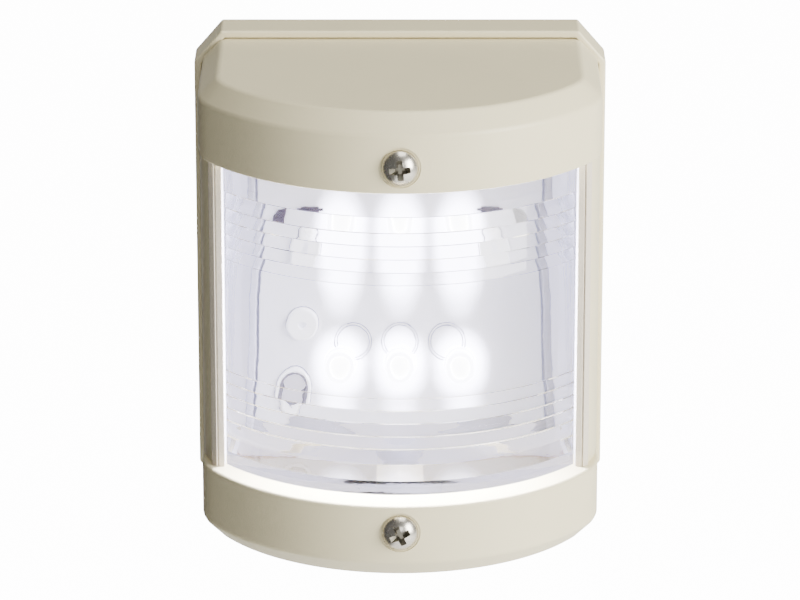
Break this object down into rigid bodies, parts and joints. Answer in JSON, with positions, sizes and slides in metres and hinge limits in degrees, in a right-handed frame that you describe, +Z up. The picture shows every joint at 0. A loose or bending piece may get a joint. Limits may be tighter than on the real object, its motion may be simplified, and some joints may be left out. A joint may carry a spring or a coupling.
{
  "type": "navigation light",
  "caption": "Vertical-mount stern navigation light with a ribbed lens, LED board and screw-on front cover.",
  "frame": {"origin": "centre of the base's flat back face, which lies against the wall", "axes": "+Z up, +Y into the wall, the light shines along -Y, +X to the right seen from the front's left-hand side"},
  "size_m": [0.068, 0.0538, 0.081],
  "materials": {
    "ivory_plastic": "satin",
    "white_plastic": "satin",
    "clear_plastic": "polished",
    "board_mask": "satin",
    "led_body": "gloss",
    "chip_plastic": "satin",
    "stainless": "polished",
    "brass_clamp": "satin",
    "dark_rubber": "satin",
    "amber_rubber": "satin",
    "red_cable": "satin",
    "black_cable": "satin"
  },
  "bodies": {
    "base": {"base_housing": "ivory_plastic", "base_seal": "amber_rubber", "cable_grommet": "dark_rubber", "terminal_block": "white_plastic", "terminal_clamps": "brass_clamp", "lead_red": "red_cable", "lead_black": "black_cable", "board_carrier": "white_plastic", "led_board": "board_mask", "board_rivets": "white_plastic", "led_upper_left": "led_body", "led_upper_centre": "led_body", "led_upper_right": "led_body", "led_lower_left": "led_body", "led_lower_centre": "led_body", "led_lower_right": "led_body", "driver_left": "chip_plastic", "driver_right": "chip_plastic", "board_eyelet": "white_plastic", "chip_resistors": "chip_plastic"},
    "cover": {"cover": "ivory_plastic", "lens": "clear_plastic"},
    "upper_ring": {"upper_screw_ring": "dark_rubber"},
    "upper_screw": {"upper_screw": "stainless"},
    "lower_ring": {"lower_screw_ring": "dark_rubber"},
    "lower_screw": {"lower_screw": "stainless"}
  },
  "joints": [
    {"name": "cover_lift", "type": "slide", "parent": "base", "child": "cover", "axis": [0, -1, 0], "range_m": [0, 0.06]},
    {"name": "upper_screw_travel", "type": "slide", "parent": "cover", "child": "upper_ring", "axis": [0, -1, 0], "range_m": [0, 0.00605]},
    {"name": "upper_screw_turn", "type": "hinge", "parent": "upper_ring", "child": "upper_screw", "pos_m": [0, -0.05, 0.0307], "axis": [0, 1, 0], "range_deg": [0, 1980]},
    {"name": "lower_screw_travel", "type": "slide", "parent": "cover", "child": "lower_ring", "axis": [0, -1, 0], "range_m": [0, 0.00605]},
    {"name": "lower_screw_turn", "type": "hinge", "parent": "lower_ring", "child": "lower_screw", "pos_m": [0, -0.05, -0.0307], "axis": [0, 1, 0], "range_deg": [0, 1980]}
  ],
  "couplings": [
    {"joint": "upper_screw_travel", "follows": "upper_screw_turn", "m_per_rad": 0.00017507},
    {"joint": "lower_screw_travel", "follows": "lower_screw_turn", "m_per_rad": 0.00017507}
  ]
}
